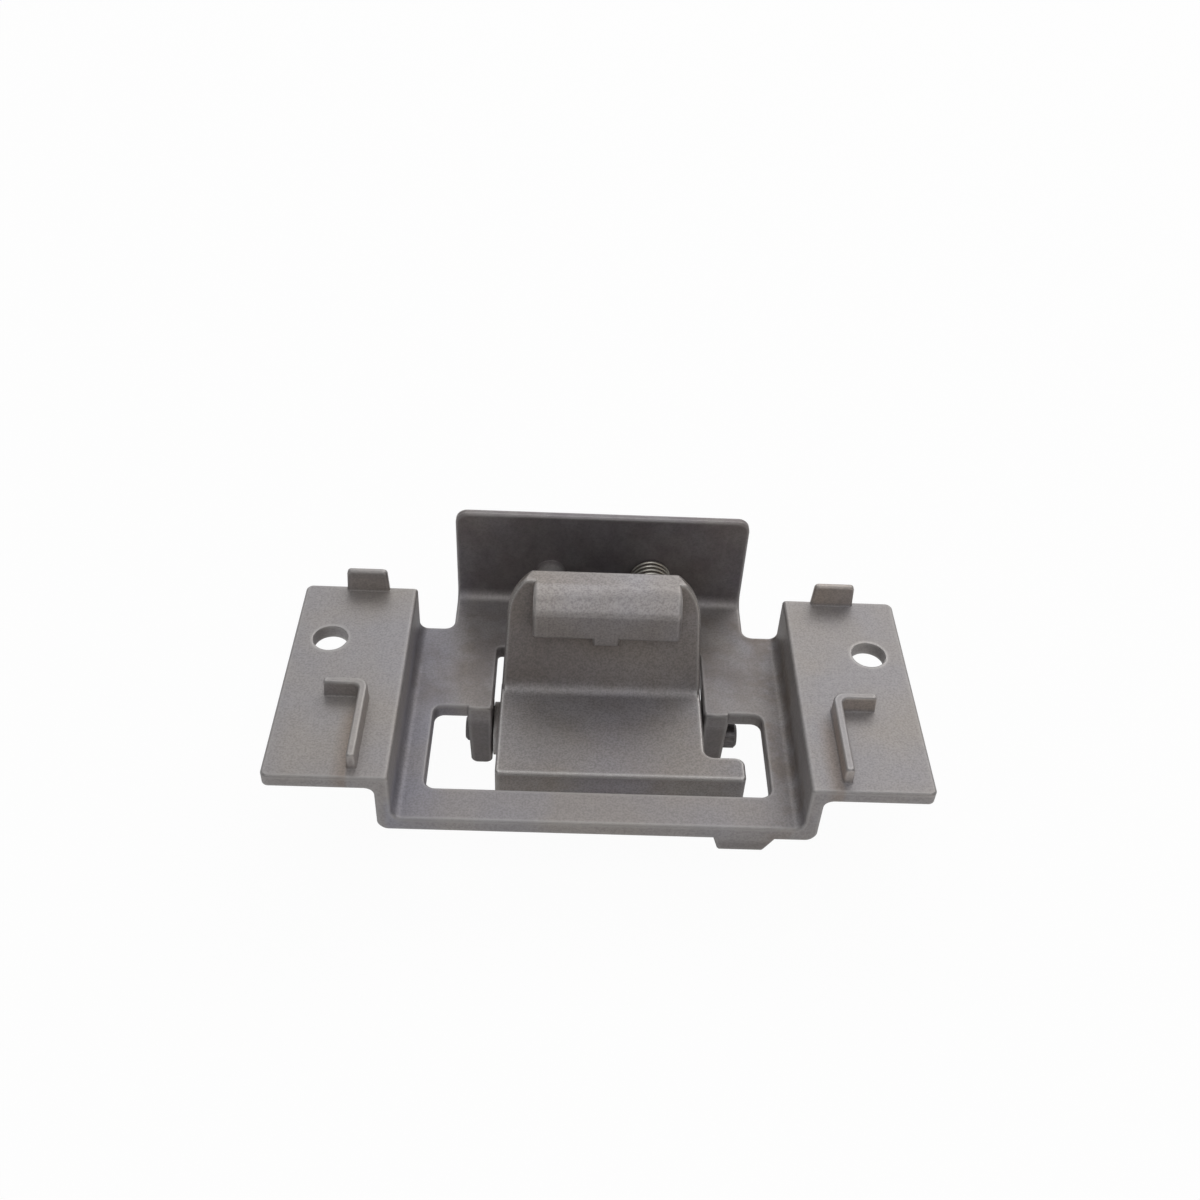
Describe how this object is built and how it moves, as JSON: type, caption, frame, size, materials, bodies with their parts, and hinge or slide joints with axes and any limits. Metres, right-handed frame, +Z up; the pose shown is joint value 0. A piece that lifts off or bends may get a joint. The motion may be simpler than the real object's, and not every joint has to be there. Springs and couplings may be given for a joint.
{
  "type": "oven door latch",
  "caption": "Cast hat-section bracket with screw ears and a sprung latch lever hinged on a pin, whose hooked nose catches an oven door's striker.",
  "frame": {"origin": "midway between the two screw holes, on the underside of the ears", "axes": "+X to the right along the line of the screw holes, +Y back towards the rear wall, +Z up along the screw holes"},
  "size_m": [0.08, 0.0426, 0.0255],
  "materials": {
    "cast_bracket": "tumbled die casting, matt grey",
    "cast_lever": "tumbled die casting, matt grey",
    "pin_steel": "drawn steel, dull",
    "spring_steel": "drawn spring wire"
  },
  "bodies": {
    "frame": {"bracket": "cast_bracket", "pivot_pin": "pin_steel", "return_spring": "spring_steel"},
    "lever": {"latch_lever": "cast_lever"}
  },
  "joints": [
    {"name": "lever_hinge", "type": "hinge", "parent": "frame", "child": "lever", "pos_m": [0, -0.002, -0.01225], "axis": [-1, 0, 0], "range_deg": [0, 10], "stiffness_Nm_per_rad": 0.045, "springref_deg": -14.32, "deforming": ["return_spring"]}
  ]
}
